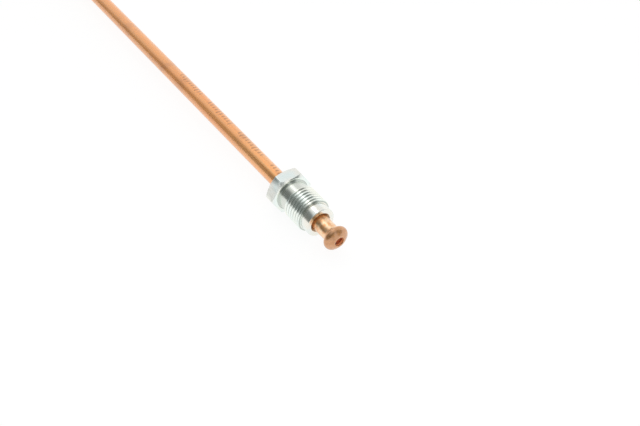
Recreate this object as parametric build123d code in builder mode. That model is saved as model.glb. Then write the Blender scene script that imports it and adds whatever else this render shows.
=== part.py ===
"""Straight brake pipe: one copper tube with a bubble flare at each end and a captive male nut at each flare.

The pipe lies along X with its middle at the origin, and rests on the flats of its nuts.
The photographed end, called the front, is the one at +X.
"""

from build123d import *
from math import asin, cos, degrees, radians, sin, sqrt, tan
import os

# Driving dimensions of the tube, in millimetres and degrees
pipe_length = 200.0
tube_diameter = 4.75
tube_wall = 0.9

# Driving dimensions of the bubble flares
flare_diameter = 7.1
flare_cone_angle = 115.0
flare_mouth_diameter = 2.6
flare_land = 0.5
fold_radius = 0.2
neck_radius = 1.0
mouth_chamfer = 0.12

# Driving dimensions of the M10x1 tube nuts
thread_diameter = 10.0
thread_length = 7.0
thread_lead_in = 0.3
pilot_diameter = 8.5
pilot_length = 3.0
pilot_edge = 0.2
relief_diameter = 8.8
relief_length = 3.0
relief_root = 0.3
hexagon_flats = 11.0
hexagon_length = 4.0
hexagon_face_diameter = 10.4
hexagon_chamfer_angle = 30.0
seat_mouth_diameter = 5.9
seat_angle = 90.0
tail_chamfer = 0.3
tube_clearance = 0.075

# How far the front of each nut stands back from the nose of its flare
front_nut_setback = 8.35
rear_nut_setback = 8.35

# The tube and the lines that its flares share
nose_x = pipe_length / 2
tube_radius = tube_diameter / 2
mouth_radius = flare_mouth_diameter / 2
rim_radius = fold_radius + tube_wall
cone_slope = radians(flare_cone_angle / 2)

# The rim rolls round one circle and the neck hollows round another that touches it
rim_centre_radius = flare_diameter / 2 - rim_radius
rim_drop = rim_centre_radius - mouth_radius - flare_land
rim_centre_x = nose_x - (rim_radius + rim_drop * cos(cone_slope)) / sin(cone_slope)
centre_line_angle = degrees(
    asin((tube_radius + neck_radius - rim_centre_radius) / (rim_radius + neck_radius))
)
rim_sweep = 90 + flare_cone_angle / 2 - centre_line_angle
neck_sweep = 90 - centre_line_angle


def wall_surface(depth, cone_start_radius):
    """One side of the folded wall, from the flare's cone to the middle of the pipe."""
    cone_end_x = rim_centre_x + (rim_radius - depth) * sin(cone_slope)
    cone_end_radius = rim_centre_radius + (rim_radius - depth) * cos(cone_slope)
    cone_start_x = cone_end_x + (cone_end_radius - cone_start_radius) / tan(cone_slope)
    cone = Line((cone_start_x, cone_start_radius), (cone_end_x, cone_end_radius))
    rim = JernArc(cone @ 1, cone % 1, rim_radius - depth, rim_sweep)
    neck = JernArc(rim @ 1, rim % 1, neck_radius + depth, -neck_sweep)
    straight = Line(neck @ 1, (0, tube_radius - depth))
    return cone @ 0, straight @ 1


# Copper tube: half of the wall's section, with the bubble folded from the wall itself
with BuildPart() as brake_tube:
    with BuildSketch(Plane.XZ) as wall_section:
        with BuildLine():
            land_edge, outer_end = wall_surface(0, mouth_radius + flare_land)
            mouth_back, inner_end = wall_surface(tube_wall, mouth_radius)
            Polyline(land_edge, (nose_x, mouth_radius), mouth_back)
            Line(outer_end, inner_end)
        make_face()
        chamfer(wall_section.vertices().group_by(Axis.X)[-1].sort_by(Axis.Y)[0], mouth_chamfer)
    revolve(axis=Axis.X)
    mirror(about=Plane.YZ)
brake_tube.part.label = "brake_tube"


def make_tube_nut(front):
    """A male tube nut turned from hexagon bar, with its front face on a plane that faces its flare."""
    section = Plane(front.origin, x_dir=-front.z_dir, z_dir=-front.x_dir)
    turning_axis = Axis(front.origin, front.z_dir)
    relief_start = pilot_length + thread_length
    hexagon_start = relief_start + relief_length
    nut_length = hexagon_start + hexagon_length
    thread_radius = thread_diameter / 2
    pilot_radius = pilot_diameter / 2
    relief_radius = relief_diameter / 2
    run_out = thread_radius - relief_radius
    face_radius = hexagon_face_diameter / 2
    corner_radius = hexagon_flats / sqrt(3)
    corner_drop = (corner_radius - face_radius) * tan(radians(hexagon_chamfer_angle))

    with BuildPart() as tube_nut:
        # Hexagon, with its corners taken off by a cone at both ends
        with BuildSketch(front.offset(-hexagon_start)):
            RegularPolygon(hexagon_flats / 2, side_count=6, major_radius=False)
        extrude(amount=-hexagon_length)
        with BuildSketch(section):
            with BuildLine():
                Polyline(
                    (hexagon_start, 0),
                    (hexagon_start, face_radius),
                    (hexagon_start + corner_drop, corner_radius),
                    (nut_length - corner_drop, corner_radius),
                    (nut_length, face_radius),
                    (nut_length, 0),
                    close=True,
                )
            make_face()
        revolve(axis=turning_axis, mode=Mode.INTERSECT)

        # Turned shank: pilot, thread blank and relief
        with BuildSketch(section):
            with BuildLine():
                Polyline(
                    (0, 0),
                    (0, pilot_radius - pilot_edge),
                    (pilot_edge, pilot_radius),
                    (pilot_length, pilot_radius),
                    (pilot_length, thread_radius - thread_lead_in),
                    (pilot_length + thread_lead_in, thread_radius),
                    (relief_start - run_out, thread_radius),
                    (relief_start, relief_radius),
                    (hexagon_start - relief_root, relief_radius),
                    (hexagon_start, relief_radius + relief_root),
                    (hexagon_start, 0),
                    close=True,
                )
            make_face()
        revolve(axis=turning_axis)

        # Bore, with the seat that presses on the back of the flare
        with Locations(front):
            CounterSinkHole(
                radius=tube_radius + tube_clearance,
                counter_sink_radius=seat_mouth_diameter / 2,
                counter_sink_angle=seat_angle,
            )
        tail_circles = tube_nut.edges().filter_by(GeomType.CIRCLE).group_by(turning_axis)[0]
        chamfer(tail_circles.sort_by(SortBy.RADIUS)[0], tail_chamfer)
    return tube_nut.part


front_face = Plane.YZ.offset(nose_x - front_nut_setback)
rear_face = Plane((rear_nut_setback - nose_x, 0, 0), x_dir=(0, -1, 0), z_dir=(-1, 0, 0))

os.makedirs("parts", exist_ok=True)
export_step(brake_tube.part, "parts/brake_tube.step")
for name, face in {"front_tube_nut": front_face, "rear_tube_nut": rear_face}.items():
    nut = make_tube_nut(face)
    nut.label = name
    export_step(nut, f"parts/{name}.step")
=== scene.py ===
"""Looks of the brake pipe: a copper tube with bubble flares, and zinc-plated nuts with M10x1 threads."""

from math import asin, cos, degrees, pi, radians, sin, sqrt, tan

import bpy
from mathutils import Matrix, Vector


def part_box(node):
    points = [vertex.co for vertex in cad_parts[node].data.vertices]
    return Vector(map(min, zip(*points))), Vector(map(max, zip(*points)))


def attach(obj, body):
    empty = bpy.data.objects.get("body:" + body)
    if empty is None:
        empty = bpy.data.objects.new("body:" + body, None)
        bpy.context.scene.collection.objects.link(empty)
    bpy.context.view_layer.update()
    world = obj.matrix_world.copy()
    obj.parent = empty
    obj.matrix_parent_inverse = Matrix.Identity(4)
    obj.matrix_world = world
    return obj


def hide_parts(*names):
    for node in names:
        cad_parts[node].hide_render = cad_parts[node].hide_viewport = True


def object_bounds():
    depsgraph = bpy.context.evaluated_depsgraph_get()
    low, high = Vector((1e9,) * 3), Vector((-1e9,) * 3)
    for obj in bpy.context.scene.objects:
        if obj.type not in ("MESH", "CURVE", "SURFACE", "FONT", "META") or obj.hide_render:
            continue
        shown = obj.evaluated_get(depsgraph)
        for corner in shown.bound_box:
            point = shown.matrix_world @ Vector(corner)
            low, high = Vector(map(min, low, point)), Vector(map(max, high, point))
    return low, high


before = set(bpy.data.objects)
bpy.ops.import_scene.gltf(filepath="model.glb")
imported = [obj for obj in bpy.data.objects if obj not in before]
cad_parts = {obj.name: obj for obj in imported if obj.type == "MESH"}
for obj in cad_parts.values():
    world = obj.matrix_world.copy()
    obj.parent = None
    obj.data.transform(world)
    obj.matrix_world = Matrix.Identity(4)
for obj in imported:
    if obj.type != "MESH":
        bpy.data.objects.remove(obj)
cad_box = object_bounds()
scene = bpy.context.scene

# Pieces are drawn in millimetres and brought to metres when they are finished
MM = 0.001

# Sizes of the tube and its flares, as in the CAD
tube_radius = 4.75 / 2
tube_wall = 0.9
flare_radius = 7.1 / 2
cone_slope = radians(115.0 / 2)
flare_land = 0.5
fold_radius = 0.2
neck_radius = 1.0
mouth_round = 0.1
mouth_radius = 2.6 / 2
nose_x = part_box("brake_tube")[1].x / MM

# Sizes of a tube nut, as depths behind its front face
pilot_radius = 8.5 / 2
pilot_round = 0.2
pilot_end = 3.0
thread_radius = 10.0 / 2
thread_pitch = 1.0
thread_end = 10.0
lead_in = 0.3
relief_radius = 8.8 / 2
relief_root = 0.3
hexagon_start = 13.0
nut_length = 17.0
hexagon_flats = 11.0
hexagon_face_radius = 10.4 / 2
hexagon_edge_round = 0.12
seat_mouth_radius = 5.9 / 2
nut_bore_radius = tube_radius + 0.075
tail_chamfer = 0.3
nut_face_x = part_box("front_tube_nut")[1].x / MM

# Segments round a turned surface, and in each turn of the thread
round_steps = 128

# Points nearer than this are one point, in millimetres
weld_distance = 1e-4


# Shaping

def select_only(piece):
    bpy.ops.object.select_all(action="DESELECT")
    bpy.context.view_layer.objects.active = piece
    piece.select_set(True)


def turned(name, outline, closed=True):
    """A turned form: a ring extruded along the outline's (x, radius) points, closed on itself or capped."""
    x, radius = outline[0]
    bpy.ops.object.select_all(action="DESELECT")
    bpy.ops.mesh.primitive_circle_add(
        vertices=round_steps, radius=radius, location=(x, 0, 0), rotation=(0, pi / 2, 0)
    )
    piece = bpy.context.object
    piece.name = name
    bpy.ops.object.transform_apply(location=True, rotation=True, scale=True)
    bpy.ops.object.mode_set(mode="EDIT")
    bpy.ops.mesh.select_all(action="SELECT")
    for next_x, next_radius in outline[1:] + (outline[:1] if closed else []):
        bpy.ops.mesh.extrude_edges_move(TRANSFORM_OT_translate={"value": (next_x - x, 0, 0)})
        grow = next_radius / radius
        bpy.ops.transform.resize(value=(1, grow, grow), center_override=(next_x, 0, 0))
        x, radius = next_x, next_radius
    bpy.ops.mesh.select_all(action="SELECT")
    bpy.ops.mesh.remove_doubles(threshold=weld_distance)
    if not closed:
        bpy.ops.mesh.fill_holes(sides=0)
        bpy.ops.mesh.select_all(action="SELECT")
    bpy.ops.mesh.normals_make_consistent(inside=False)
    put_in_order()
    bpy.ops.object.mode_set(mode="OBJECT")
    return piece


def put_in_order():
    """Orders the elements by place. Extruding leaves them in an order that changes from run to run."""
    # Elements that are equally far from one of these spots are not so from the other
    for spot in ((17.31, 3.77, 9.13), (-211.9, 31.7, -57.3)):
        scene.cursor.location = spot
        bpy.ops.mesh.sort_elements(type="CURSOR_DISTANCE", elements={"VERT", "EDGE", "FACE"})
    scene.cursor.location = (0, 0, 0)


def arc(centre, radius, start, end, steps):
    """Points of a round corner in an outline, from one angle to another, in degrees."""
    angles = [radians(start + (end - start) * i / steps) for i in range(steps + 1)]
    return [(centre[0] + radius * cos(a), centre[1] + radius * sin(a)) for a in angles]


def combine(piece, tool, operation):
    """Adds a second form, cuts it away or keeps what is common with it, and uses it up."""
    select_only(piece)
    bpy.ops.object.modifier_add(type="BOOLEAN")
    step = piece.modifiers[-1]
    step.operation = operation
    step.solver = "EXACT"
    step.object = tool
    bpy.ops.object.modifier_apply(modifier=step.name)
    bpy.data.objects.remove(tool)


def finish_piece(piece):
    """Brings a piece from millimetres to metres, its place in its mesh, and smooths its turned faces."""
    smooth_angle = radians(30)
    select_only(piece)
    piece.scale = (MM, MM, MM)
    bpy.ops.object.transform_apply(location=True, rotation=True, scale=True)
    bpy.ops.object.shade_smooth_by_angle(angle=smooth_angle)


# Copper tube, with each bubble flare folded from its wall

def make_copper_tube():
    """The whole wall as one closed turned form: over the outside, and back through the bore."""
    rim_radius = fold_radius + tube_wall
    # The rim rolls round one circle, and the neck hollows round another that touches it
    rim_height = flare_radius - rim_radius
    rim_drop = rim_height - mouth_radius - flare_land
    rim_x = nose_x - (rim_radius + rim_drop * cos(cone_slope)) / sin(cone_slope)
    rise = asin((tube_radius + neck_radius - rim_height) / (rim_radius + neck_radius))
    neck_x = rim_x - (rim_radius + neck_radius) * cos(rise)
    neck_height = tube_radius + neck_radius

    def folded(depth, steps):
        """The rim and the neck, at a depth in the wall."""
        rim_start, rim_end = 90 - degrees(cone_slope), 180 - degrees(rise)
        rim = arc((rim_x, rim_height), rim_radius - depth, rim_start, rim_end, steps)
        neck = arc((neck_x, neck_height), neck_radius + depth, -degrees(rise), -90, steps)
        return rim + neck[1:]

    mouth_centre = (nose_x - mouth_round, mouth_radius + mouth_round)
    mouth = arc(mouth_centre, mouth_round, -90, 0, steps=3)
    land_radius = mouth_radius + flare_land
    land_drop = 0.02
    land_edge = [(nose_x, land_radius - mouth_round), (nose_x - land_drop, land_radius)]
    inner = folded(tube_wall, steps=12)
    inner_cone_x = inner[0][0] + (inner[0][1] - mouth_radius) / tan(cone_slope)
    outside = mouth + land_edge + folded(0, steps=16)
    inside = [(inner_cone_x, mouth_radius)] + inner
    rear_outside = [(-x, r) for x, r in outside]
    rear_inside = [(-x, r) for x, r in inside]
    return turned("copper_tube", outside + rear_outside[::-1] + rear_inside + inside[::-1])


# Tube nut, made once at the front of the pipe

def nut_outline(points):
    """Turns (depth behind the front face, radius) points into (x, radius) points."""
    return [(nut_face_x - depth, radius) for depth, radius in points]


def make_hexagon():
    """The spanner hexagon, with its corners turned off by a 30 degree chamfer at both ends."""
    spare = 0.5
    middle = (hexagon_start + nut_length) / 2
    # A flat of this bar faces down, as the pipe lies
    bpy.ops.object.select_all(action="DESELECT")
    bpy.ops.mesh.primitive_cylinder_add(
        vertices=6,
        radius=hexagon_flats / sqrt(3),
        depth=nut_length - hexagon_start + 2 * spare,
        location=(nut_face_x - middle, 0, 0),
        rotation=(0, pi / 2, 0),
    )
    hexagon = bpy.context.object
    bpy.ops.object.transform_apply(location=True, rotation=True, scale=True)
    round_long_edges(hexagon)

    clear_radius = 7.0
    cone_depth = (clear_radius - hexagon_face_radius) * tan(radians(30))
    # The eased edge of an end, as steps behind its face and past its radius
    eased_edge = ((0.0, -0.12), (0.02, 0.0), (0.07, 0.1))

    def bar_end(face, inward):
        """An end: its flat face, the eased edge and the chamfer cone out past the corners."""
        edge = [(face + inward * depth, hexagon_face_radius + rise) for depth, rise in eased_edge]
        return edge + [(face + inward * cone_depth, clear_radius)]

    ends = bar_end(hexagon_start, 1) + bar_end(nut_length, -1)[::-1]
    combine(hexagon, turned("hexagon_barrel", nut_outline(ends), closed=False), "INTERSECT")
    return hexagon


def round_long_edges(hexagon):
    """A small round on the six long edges of the drawn bar, the only ones that run along X."""
    bpy.ops.object.mode_set(mode="EDIT")
    bpy.ops.mesh.select_all(action="DESELECT")
    bpy.ops.object.mode_set(mode="OBJECT")
    points = hexagon.data.vertices
    for edge in hexagon.data.edges:
        start, end = (points[i].co for i in edge.vertices)
        edge.select = abs(start.x - end.x) > hexagon_edge_round
    bpy.ops.object.mode_set(mode="EDIT")
    bpy.ops.mesh.select_mode(type="EDGE")
    bpy.ops.mesh.bevel(offset=hexagon_edge_round, offset_type="WIDTH", segments=3)
    bpy.ops.object.mode_set(mode="OBJECT")


def make_shank():
    """Pilot, thread blank and relief as one turned form that runs a little way into the hexagon."""
    run_out = thread_radius - relief_radius
    pilot_corner = arc((pilot_round, pilot_radius - pilot_round), pilot_round, 180, 90, steps=4)
    root = relief_radius + relief_root
    shoulder_slant = 0.01
    return turned("nut_shank", nut_outline([
        *pilot_corner,
        (pilot_end, pilot_radius),
        (pilot_end + shoulder_slant, thread_radius - lead_in),
        (pilot_end + lead_in, thread_radius),
        (thread_end - run_out, thread_radius),
        (thread_end, relief_radius),
        (hexagon_start - relief_root, relief_radius),
        (hexagon_start + relief_root, root + relief_root),
    ]), closed=False)


def make_bore_cutter():
    """The bore, its seat for the back of the flare, and the chamfer at the tail."""
    spare = 0.5
    # The eased edge of the seat's mouth, as steps behind the face and past the mouth's radius
    eased_edge = ((-spare, spare), (0.04, 0.02), (0.12, -0.08))
    return turned("bore_cutter", nut_outline([
        *((depth, seat_mouth_radius + rise) for depth, rise in eased_edge),
        (seat_mouth_radius - nut_bore_radius, nut_bore_radius),
        (nut_length - tail_chamfer, nut_bore_radius),
        (nut_length + spare, nut_bore_radius + tail_chamfer + spare),
    ]), closed=False)


def make_thread_cutter():
    """A right-hand helix of the 60 degree groove: shallow, with flat crests whose edges are eased."""
    flank = tan(radians(30))
    root_radius = relief_radius + 0.27
    crest_land = 0.4
    crest_ease = 0.04
    spare = 0.05
    corner_rise, corner_width = 0.05, 0.06
    eased_radius = thread_radius - crest_ease
    groove_top = (thread_pitch - crest_land) / 2
    groove_low = groove_top - crest_ease - (eased_radius - root_radius - corner_rise) * flank
    half = [
        (groove_top + spare, thread_radius + spare),
        (groove_top - crest_ease, eased_radius),
        (groove_low, root_radius + corner_rise),
        (groove_low - corner_width, root_radius),
    ]
    section = half + [(-x, r) for x, r in reversed(half)]
    # The helix starts over the relief and ends over the pilot, and clears both
    turns = 9
    overrun = 0.9
    start_x = nut_face_x - thread_end - overrun
    bpy.ops.object.select_all(action="DESELECT")
    bpy.ops.mesh.primitive_circle_add(vertices=len(section), radius=1, location=(0, 0, 0))
    cutter = bpy.context.object
    for point, (x, radius) in zip(cutter.data.vertices, section):
        point.co = (start_x + x, 0, radius)
    bpy.ops.object.modifier_add(type="SCREW")
    helix = cutter.modifiers[-1]
    helix.axis = "X"
    helix.angle = 2 * pi
    helix.screw_offset = thread_pitch
    helix.iterations = turns
    helix.steps = round_steps
    bpy.ops.object.modifier_apply(modifier=helix.name)
    bpy.ops.object.mode_set(mode="EDIT")
    bpy.ops.mesh.select_all(action="SELECT")
    bpy.ops.mesh.remove_doubles(threshold=weld_distance)
    bpy.ops.mesh.fill_holes(sides=0)
    bpy.ops.mesh.select_all(action="SELECT")
    bpy.ops.mesh.normals_make_consistent(inside=False)
    bpy.ops.object.mode_set(mode="OBJECT")

    # Half a segment of turn keeps its edges off those of the blank
    cutter.data.transform(Matrix.Rotation(pi / round_steps, 4, "X"))
    return cutter


def make_tube_nut():
    nut = make_hexagon()
    nut.name = "front_nut"
    combine(nut, make_shank(), "UNION")
    combine(nut, make_bore_cutter(), "DIFFERENCE")
    combine(nut, make_thread_cutter(), "DIFFERENCE")
    finish_piece(nut)
    return nut


def half_turn_copy(piece, name):
    """The same nut for the other end, turned half round so that its thread stays right-hand."""
    copy = piece.copy()
    copy.data = piece.data.copy()
    copy.name = name
    scene.collection.objects.link(copy)
    copy.data.transform(Matrix.Rotation(pi, 4, "Z"))
    return copy


# Materials

def colour(hex_code):
    """An sRGB hex value as linear light."""
    channels = [int(hex_code[i:i + 2], 16) / 255 for i in (1, 3, 5)]
    linear = [c / 12.92 if c <= 0.04045 else ((c + 0.055) / 1.055) ** 2.4 for c in channels]
    return (*linear, 1)


def new_material(name):
    material = bpy.data.materials.new(name)
    material.use_nodes = True
    material.node_tree.nodes.clear()
    return material, material.node_tree


def add_node(tree, kind, values):
    """Adds a node and gives its properties and sockets their values. An output is linked, a node is linked
    from its first live output, and a hex value becomes a colour."""
    node = tree.nodes.new("ShaderNode" + kind)
    for key, value in values.items():
        if isinstance(value, bpy.types.Node):
            value = next(output for output in value.outputs if output.enabled)
        if isinstance(value, bpy.types.NodeSocket):
            tree.links.new(value, node.inputs[key])
        elif isinstance(key, str) and hasattr(node, key):
            setattr(node, key, value)
        else:
            is_hex = isinstance(value, str) and value.startswith("#")
            node.inputs[key].default_value = colour(value) if is_hex else value
    return node


# Settings of a Map Range node that makes a soft step
soft_step = {"interpolation_type": "SMOOTHSTEP"}


def along_and_across(tree):
    """Where a point is on its piece: its place, its distance from the pipe's middle and from its axis."""
    place = add_node(tree, "TexCoord", {}).outputs["Object"]
    axes = add_node(tree, "SeparateXYZ", {"Vector": place}).outputs
    reach = add_node(tree, "Math", {"operation": "ABSOLUTE", 0: axes["X"]})
    across = add_node(tree, "CombineXYZ", {"Y": axes["Y"], "Z": axes["Z"]})
    radius = add_node(tree, "VectorMath", {"operation": "LENGTH", 0: across})
    return place, reach, radius


def printed_strokes(tree, place):
    """Ink graduations on the upper side, 1.3 mm apart in groups of nine, with every fifth one longer."""
    spacing = 1.3 * MM
    first, last = 14.0 * MM, 72.0 * MM
    half_height, long_half_height = 0.6 * MM, 1.0 * MM
    edge = 0.05 * MM
    share_edge = 0.04
    ink_cover = 0.6
    axes = add_node(tree, "SeparateXYZ", {"Vector": place}).outputs

    # The row lies a little to one side of the tube's top
    tilt = radians(14)
    row_side = (0, cos(tilt), -sin(tilt))
    side = add_node(tree, "VectorMath", {"operation": "DOT_PRODUCT", 0: place, 1: row_side})
    across = add_node(tree, "Math", {"operation": "ABSOLUTE", 0: side})

    # A stroke, a long stroke and a group each fill the first share of their period along the tube
    repeats = []
    for period, share in ((spacing, 0.36), (5 * spacing, 0.2), (13 * spacing, 0.7)):
        count = add_node(tree, "Math", {"operation": "DIVIDE", 0: axes["X"], 1: period})
        part = add_node(tree, "Math", {"operation": "FRACT", 0: count})
        share_ends = {"From Min": share + share_edge, "From Max": share}
        repeats.append(add_node(tree, "MapRange", {**soft_step, "Value": part, **share_ends}))
    ink, long_stroke, group = repeats

    height = add_node(tree, "Mix", {
        "data_type": "FLOAT", "Factor": long_stroke, "A": half_height, "B": long_half_height,
    })
    past = add_node(tree, "Math", {"operation": "SUBTRACT", 0: across, 1: height})
    # What else limits the ink, where it has none and where it is full, and how much it then covers
    limits = [group]
    for source, none, full, cover in (
        (past, edge, -edge, 1),
        (axes["Z"], 1.0 * MM, 1.5 * MM, 1),
        (axes["X"], first, first + 2 * edge, 1),
        (axes["X"], last, last - 2 * edge, ink_cover),
    ):
        ends = {"From Min": none, "From Max": full, "To Max": cover}
        limits.append(add_node(tree, "MapRange", {**soft_step, "Value": source, **ends}))
    for limit in limits:
        ink = add_node(tree, "Math", {"operation": "MULTIPLY", 0: ink, 1: limit})
    return ink


def drawn_copper():
    """Drawn copper under clear lacquer: satin streaks run along it, and its pressed bubbles are browner."""
    material, tree = new_material("drawn_copper")
    place, reach, radius = along_and_across(tree)

    # Draw lines 0.25 mm apart round the tube and some 25 mm long
    along = add_node(tree, "Mapping", {"Vector": place, "Scale": (40, 4000, 4000)})
    streaks = add_node(tree, "TexNoise", {"Vector": along, "Scale": 1, "Detail": 3})
    # Handling stains 6 mm across, dents of the flaring clamp 2 mm apart, and spots 1 mm across of its dies,
    # which on the held end also paint glints
    stains = add_node(tree, "TexNoise", {"Vector": place, "Scale": 160, "Detail": 4})
    dents = add_node(tree, "TexNoise", {"Vector": place, "Scale": 600, "Detail": 0})
    spots = add_node(tree, "TexNoise", {"Vector": place, "Scale": 900, "Detail": 3})

    # Zones, with what each one reads, where it begins and where it is full, in millimetres: the bubble,
    # the end that the flaring tool held, the brighter last stretch, the bore, the wider hollow inside the
    # folded bubble, and all that lies behind the flare's face
    zones = {}
    for name, source, begins, full in (
        ("bubble", reach, nose_x - 2.6, nose_x - 1.8),
        ("held_end", reach, nose_x - 8.5, nose_x - 7.0),
        ("bright_end", reach, nose_x - 70.0, nose_x - 5.0),
        ("bore", radius, 1.75, 1.6),
        ("hollow", radius, 2.85, 2.75),
        ("hollow_back", reach, nose_x - 2.72, nose_x - 2.66),
        ("hollow_front", reach, nose_x - 0.7, nose_x - 0.76),
        ("behind_face", reach, nose_x - 0.05, nose_x - 0.3),
    ):
        ends = {"From Min": begins * MM, "From Max": full * MM}
        zones[name] = add_node(tree, "MapRange", {**soft_step, "Value": source, **ends})
    hollow = zones["hollow"]
    for end in ("hollow_back", "hollow_front"):
        hollow = add_node(tree, "Math", {"operation": "MULTIPLY", 0: hollow, 1: zones[end]})
    inside = add_node(tree, "Math", {"operation": "MAXIMUM", 0: zones["bore"], 1: hollow})
    inside = add_node(tree, "Math", {"operation": "MULTIPLY", 0: inside, 1: zones["behind_face"]})

    # The colours of the tube, its held end and the bubble, each two that vary over a pattern
    patterned_colours = []
    for pattern, low, high, first, second in (
        (streaks, 0.35, 0.65, "#FCAC62", "#FFBD76"),
        # The held end is paler: burnished, and partly a painted reflection of the nut's face; its mottle
        # paints glints and dark spots
        (spots, 0.4, 0.6, "#FFD8AA", "#F8B478"),
        (spots, 0.35, 0.65, "#CC8F58", "#D99F6C"),
    ):
        ends = {"From Min": low, "From Max": high}
        share = add_node(tree, "MapRange", {**soft_step, "Value": pattern, **ends})
        patterned_colours.append(add_node(tree, "Mix", {
            "data_type": "RGBA", "Factor": share, "A": first, "B": second,
        }))
    shade, held, pressed = patterned_colours

    # Over the tube's own colour lie its stains, the ink and the colours of its zones, the held end's partly
    # a painted reflection
    ends = {"From Min": 0.5, "From Max": 0.75, "To Max": 0.35}
    stained = add_node(tree, "MapRange", {**soft_step, "Value": stains, **ends})
    for share, cover in (
        (stained, "#C98A5E"),
        (printed_strokes(tree, place), "#96602F"),
        (zones["held_end"], held),
        (zones["bubble"], pressed),
        (inside, "#FFA870"),
    ):
        shade = add_node(tree, "Mix", {"data_type": "RGBA", "Factor": share, "A": shade, "B": cover})

    ends = {"From Min": 0.3, "From Max": 0.7, "To Min": 0.52, "To Max": 0.62}
    rough = add_node(tree, "MapRange", {**soft_step, "Value": streaks, **ends})
    for name, level in (("bright_end", 0.35), ("held_end", 0.36), ("bubble", 0.44)):
        rough = add_node(tree, "Mix", {
            "data_type": "FLOAT", "Factor": zones[name], "A": rough, "B": level,
        })
    lines = add_node(tree, "Bump", {"Height": streaks, "Strength": 0.25, "Distance": 0.00003})
    relief = add_node(tree, "Bump", {
        "Height": dents, "Strength": zones["held_end"], "Distance": 0.0002, "Normal": lines,
    })
    surface = add_node(tree, "BsdfPrincipled", {
        "Base Color": shade,
        "Metallic": add_node(tree, "Math", {"operation": "SUBTRACT", 0: 1.0, 1: inside}),
        "Roughness": rough,
        "Normal": relief,
        "Coat Weight": 1.0,
        "Coat IOR": 1.8,
        "Coat Roughness": 0.12,
    })
    add_node(tree, "OutputMaterial", {"Surface": surface})
    return material


def bright_zinc():
    """Bright zinc plating: turning rings on round faces, draw lines on flats, and painted shade in its
    hollows, where the bore is also rougher.
    """
    material, tree = new_material("bright_zinc_plating")
    place, reach, radius = along_and_across(tree)

    # Turning rings 0.12 mm apart, along the shank and across its faces
    lathe = add_node(tree, "CombineXYZ", {"X": reach, "Y": radius})
    rings = add_node(tree, "TexNoise", {"Vector": lathe, "Scale": 8000, "Detail": 1})
    # Draw lines of the hexagon bar, 0.3 mm apart and 3 mm long
    along = add_node(tree, "Mapping", {"Vector": place, "Scale": (330, 3300, 3300)})
    lines = add_node(tree, "TexNoise", {"Vector": along, "Scale": 1, "Detail": 2})
    # The passivation's cast drifts over 4 mm
    drift = add_node(tree, "TexNoise", {"Vector": place, "Scale": 250, "Detail": 2})
    drift = add_node(tree, "MapRange", {**soft_step, "Value": drift, "From Min": 0.35, "From Max": 0.65})

    # Zones, with what each one reads, where it begins and where it is full, in millimetres
    hexagon_front = nut_face_x - hexagon_start
    relief_front = nut_face_x - thread_end
    zones = {}
    for name, source, begins, full in (
        ("hexagon", reach, hexagon_front + 0.05, hexagon_front - 0.3),
        ("relief", reach, relief_front + 0.1, relief_front - 0.1),
        ("thread", radius, relief_radius + 0.03, relief_radius + 0.08),
        ("painted_root_shade", radius, thread_radius - 0.12, thread_radius - 0.28),
        ("bore", radius, seat_mouth_radius + 0.01, seat_mouth_radius - 0.05),
    ):
        ends = {"From Min": begins * MM, "From Max": full * MM}
        zones[name] = add_node(tree, "MapRange", {**soft_step, "Value": source, **ends})

    # Each finish drifts between two colours, and the thread's roots are darkened with painted shade
    shade, thread, hexagon = (
        add_node(tree, "Mix", {"data_type": "RGBA", "Factor": drift, "A": first, "B": second})
        for first, second in (("#EDF4F1", "#F5F2E8"), ("#F2FBF6", "#F9FAEF"), ("#ECF6F4", "#F5F5EE"))
    )
    thread = add_node(tree, "Mix", {
        "data_type": "RGBA", "Factor": zones["painted_root_shade"], "A": thread, "B": "#C6CDC6",
    })
    # The relief and the bore are darker: painted shade in these hollows, the bore's shade warmed like the
    # copper tube in it
    for name, cover in (
        ("relief", "#DEE2DA"),
        ("thread", thread),
        ("hexagon", hexagon),
        ("bore", "#C6B9A6"),
    ):
        shade = add_node(tree, "Mix", {
            "data_type": "RGBA", "Factor": zones[name], "A": shade, "B": cover,
        })

    grain = add_node(tree, "Mix", {
        "data_type": "FLOAT", "Factor": zones["hexagon"], "A": rings, "B": lines,
    })
    ends = {"From Min": 0.3, "From Max": 0.7, "To Min": 0.15, "To Max": 0.28}
    rough = add_node(tree, "MapRange", {**soft_step, "Value": grain, **ends})
    rough = add_node(tree, "Mix", {"data_type": "FLOAT", "Factor": zones["bore"], "A": rough, "B": 0.5})
    marks = add_node(tree, "Bump", {"Height": grain, "Strength": 0.15, "Distance": 0.00001})
    surface = add_node(tree, "BsdfPrincipled", {
        "Base Color": shade, "Metallic": 1.0, "Roughness": rough, "Normal": marks,
    })
    add_node(tree, "OutputMaterial", {"Surface": surface})
    return material


# The object's pieces

tube = make_copper_tube()
finish_piece(tube)
tube.data.materials.append(drawn_copper())
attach(tube, "pipe")
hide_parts("brake_tube")

front_nut = make_tube_nut()
front_nut.data.materials.clear()
front_nut.data.materials.append(bright_zinc())
rear_nut = half_turn_copy(front_nut, "rear_nut")
for nut, body, node, finish in (
    (front_nut, "front_nut", "front_tube_nut", "front_nut_zinc"),
    (rear_nut, "rear_nut", "rear_tube_nut", "rear_nut_zinc"),
):
    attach(nut, body)
    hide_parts(node)


# Floor, light and camera

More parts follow.
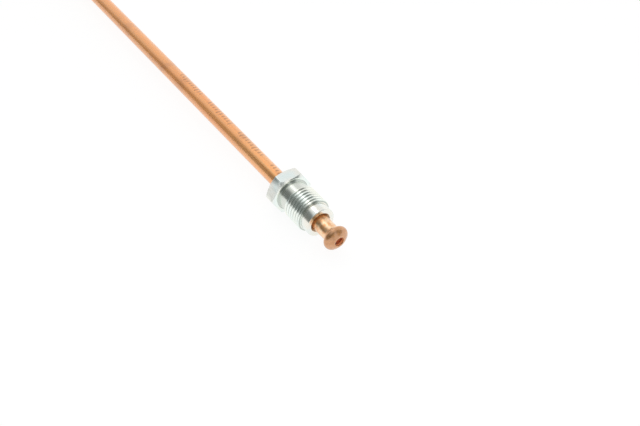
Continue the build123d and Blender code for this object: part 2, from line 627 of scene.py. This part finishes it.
def make_floor():
    """White paper. The camera and the metal see it close to white, with the pipe's faint shadow on it."""
    bpy.ops.object.select_all(action="DESELECT")
    bpy.ops.mesh.primitive_plane_add(size=0.5, location=(0, 0, cad_box[0][2]))
    floor = bpy.context.object
    floor.name = "floor"
    # How much of the paper they see is plain white, and the rest is lit
    white_share = 0.85
    material, tree = new_material("white_paper")
    paths = add_node(tree, "LightPath", {}).outputs
    seen = paths["Is Camera Ray"]
    for ray in ("Is Glossy Ray", "Is Transmission Ray"):
        seen = add_node(tree, "Math", {"operation": "MAXIMUM", 0: seen, 1: paths[ray]})
    white = add_node(tree, "Math", {"operation": "MULTIPLY", 0: seen, 1: white_share})
    both = add_node(tree, "MixShader", {
        0: white,
        1: add_node(tree, "BsdfDiffuse", {"Color": "#FAFAFA"}),
        2: add_node(tree, "Emission", {"Color": "#FFFFFF", "Strength": 1.05}),
    })
    add_node(tree, "OutputMaterial", {"Surface": both})
    floor.data.materials.append(material)


def make_tent():
    """A white tent, open to a dim room on the camera's side, with a white card in the opening."""
    world = bpy.data.worlds.new("light_tent")
    world.use_nodes = True
    tree = world.node_tree
    tree.nodes.clear()
    way = add_node(tree, "TexCoord", {}).outputs["Generated"]
    axes = add_node(tree, "SeparateXYZ", {"Vector": way}).outputs
    level = add_node(tree, "CombineXYZ", {"X": axes["X"], "Y": axes["Y"]})
    heading = add_node(tree, "VectorMath", {"operation": "NORMALIZE", 0: level})
    turn = add_node(tree, "SeparateXYZ", {"Vector": heading}).outputs

    # The opening lies round one heading, and reaches round to straight ahead of the pipe
    opening = (0.588, -0.809, 0)
    facing = add_node(tree, "VectorMath", {"operation": "DOT_PRODUCT", 0: heading, 1: opening})

    # Its foot is the paper's far edge, which lies lower on the right
    ends = {"From Min": 0.3, "From Max": 0.55, "To Max": 0.08}
    drop = add_node(tree, "MapRange", {**soft_step, "Value": turn["Y"], **ends})
    height = add_node(tree, "Math", {"operation": "ADD", 0: axes["Z"], 1: drop})

    # The opening's edges, with what each one reads, where it begins and where the opening is full
    edges = {}
    for name, source, begins, full in (
        ("beside", facing, -0.33, 0.01),
        ("ahead", turn["X"], 0.6, 0.75),
        ("card_right", turn["Y"], 0.06, -0.04),
        ("card_left", turn["Y"], 0.26, 0.34),
        ("top", axes["Z"], 0.9, 0.68),
        ("foot", height, -0.03, 0.06),
    ):
        ends = {"From Min": begins, "From Max": full}
        edges[name] = add_node(tree, "MapRange", {**soft_step, "Value": source, **ends})
    gap = add_node(tree, "Math", {"operation": "MAXIMUM", 0: edges["beside"], 1: edges["ahead"]})
    card = add_node(tree, "Math", {"operation": "MAXIMUM", 0: edges["card_right"], 1: edges["card_left"]})
    for limit in (card, edges["top"], edges["foot"]):
        gap = add_node(tree, "Math", {"operation": "MULTIPLY", 0: gap, 1: limit})

    # The cloth is brightest low down, and the room that shows in the opening is dim
    ends = {"From Min": 0.2, "From Max": 0.6, "To Min": 1.05, "To Max": 0.87}
    cloth = add_node(tree, "MapRange", {**soft_step, "Value": axes["Z"], **ends})
    cast = add_node(tree, "Mix", {"data_type": "RGBA", "Factor": gap, "A": "#FFFFFF", "B": "#F8FFFC"})
    strength = add_node(tree, "Mix", {"data_type": "FLOAT", "Factor": gap, "A": cloth, "B": 0.2})
    both = add_node(tree, "MixShader", {
        0: add_node(tree, "LightPath", {}).outputs["Is Camera Ray"],
        1: add_node(tree, "Background", {"Color": cast, "Strength": strength}),
        2: add_node(tree, "Background", {"Color": "#FFFFFF", "Strength": 1.0}),
    })
    add_node(tree, "OutputWorld", {"Surface": both})
    scene.world = world


def make_lamp(name, way, distance, size, energy):
    """A square soft panel that faces the photographed nut from one side."""
    panel = bpy.data.lights.new(name, "AREA")
    panel.size = size
    panel.energy = energy
    holder = bpy.data.objects.new(name, panel)
    place = Vector(way).normalized() * distance
    holder.location = place + Vector((nut_face_x * MM, 0, 0))
    holder.rotation_euler = place.to_track_quat("Z", "Y").to_euler()
    scene.collection.objects.link(holder)
    return holder


def make_lamps():
    """A softbox above and behind the nut, and a weak fill that lights the mouth and is in no reflection."""
    make_lamp("softbox", way=(-0.52, 0.07, 0.85), distance=0.3, size=0.09, energy=0.03)
    fill = make_lamp("fill", way=(0.75, -0.33, 0.57), distance=0.5, size=0.2, energy=0.6)
    fill.visible_glossy = False


def make_camera():
    """A 50 mm lens that looks down at the photographed end, as the photograph does."""
    look_down, heading = 44.6, 55.0
    camera = bpy.data.cameras.new("camera")
    camera.sensor_width = 36
    camera.lens = 50.6
    holder = bpy.data.objects.new("camera", camera)
    holder.location = (0.22575, -0.0941, 0.1651)
    holder.rotation_euler = (radians(90 - look_down), 0, radians(heading))
    scene.collection.objects.link(holder)
    scene.camera = holder


make_floor()
make_tent()
make_lamps()
make_camera()
scene.view_settings.view_transform = "Standard"
